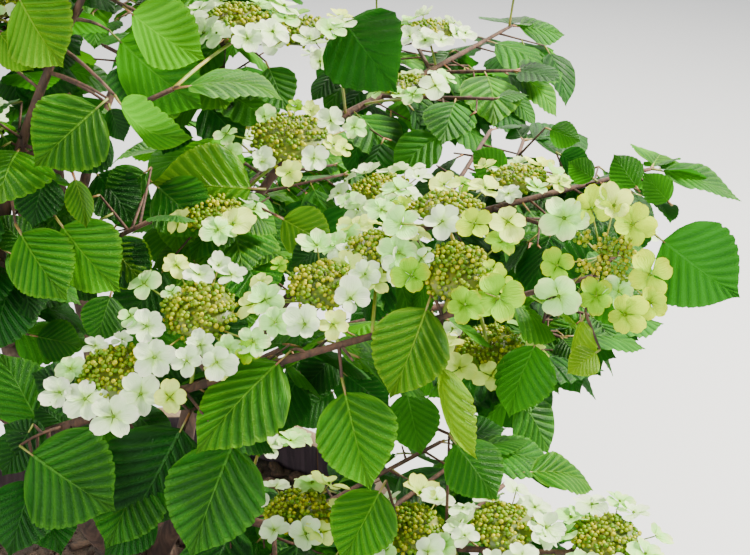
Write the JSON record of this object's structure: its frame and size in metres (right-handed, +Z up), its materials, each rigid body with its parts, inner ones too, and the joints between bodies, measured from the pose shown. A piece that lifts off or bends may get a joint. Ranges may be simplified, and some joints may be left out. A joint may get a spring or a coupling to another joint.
{
  "type": "potted doublefile viburnum shrub",
  "caption": "Doublefile viburnum shrub with tiered boughs, pleated leaves and flat lacecap flower heads, growing in a half-barrel planter of wooden staves and steel hoops.",
  "frame": {"origin": "centre of the barrel's flat underside, on the surface that it stands on", "axes": "+Z up; -Y towards the side that the picture was taken from; +X along the long flowering bough to the right"},
  "size_m": [1.2086, 1.1658, 1.408],
  "materials": {
    "barrel_wood": "weathered oak",
    "hoop_steel": "dull galvanised, weathered",
    "soil": "moist crumbly soil",
    "bark": "matt reddish-brown bark",
    "foliage": "satin leaves and petals"
  },
  "bodies": {
    "root": {"stave_01": "barrel_wood", "stave_02": "barrel_wood", "stave_03": "barrel_wood", "stave_04": "barrel_wood", "stave_05": "barrel_wood", "stave_06": "barrel_wood", "stave_07": "barrel_wood", "stave_08": "barrel_wood", "stave_09": "barrel_wood", "stave_10": "barrel_wood", "stave_11": "barrel_wood", "stave_12": "barrel_wood", "stave_13": "barrel_wood", "stave_14": "barrel_wood", "stave_15": "barrel_wood", "stave_16": "barrel_wood", "stave_17": "barrel_wood", "stave_18": "barrel_wood", "base_board": "barrel_wood", "hoop_low": "hoop_steel", "hoop_middle": "hoop_steel", "hoop_high": "hoop_steel", "soil": "soil", "stool": "bark", "stem_front": "bark", "stem_right": "bark", "stem_back_right": "bark", "stem_back_left": "bark", "stem_left": "bark", "bough_front_right": "bark", "bough_right": "bark", "bough_back_right": "bark", "bough_back": "bark", "bough_back_left": "bark", "bough_left": "bark", "bough_front_left": "bark", "low_bough_front_right": "bark", "low_bough_right": "bark", "low_bough_back": "bark", "low_bough_left": "bark", "low_bough_front": "bark", "leader_front": "foliage", "leader_right": "foliage", "leader_back_right": "foliage", "leader_back_left": "foliage", "leader_left": "foliage", "tier_front_right": "foliage", "tier_right": "foliage", "tier_back_right": "foliage", "tier_back": "foliage", "tier_back_left": "foliage", "tier_left": "foliage", "tier_front_left": "foliage", "low_front_right": "foliage", "low_right": "foliage", "low_back": "foliage", "low_left": "foliage", "low_front": "foliage"}
  },
  "joints": []
}
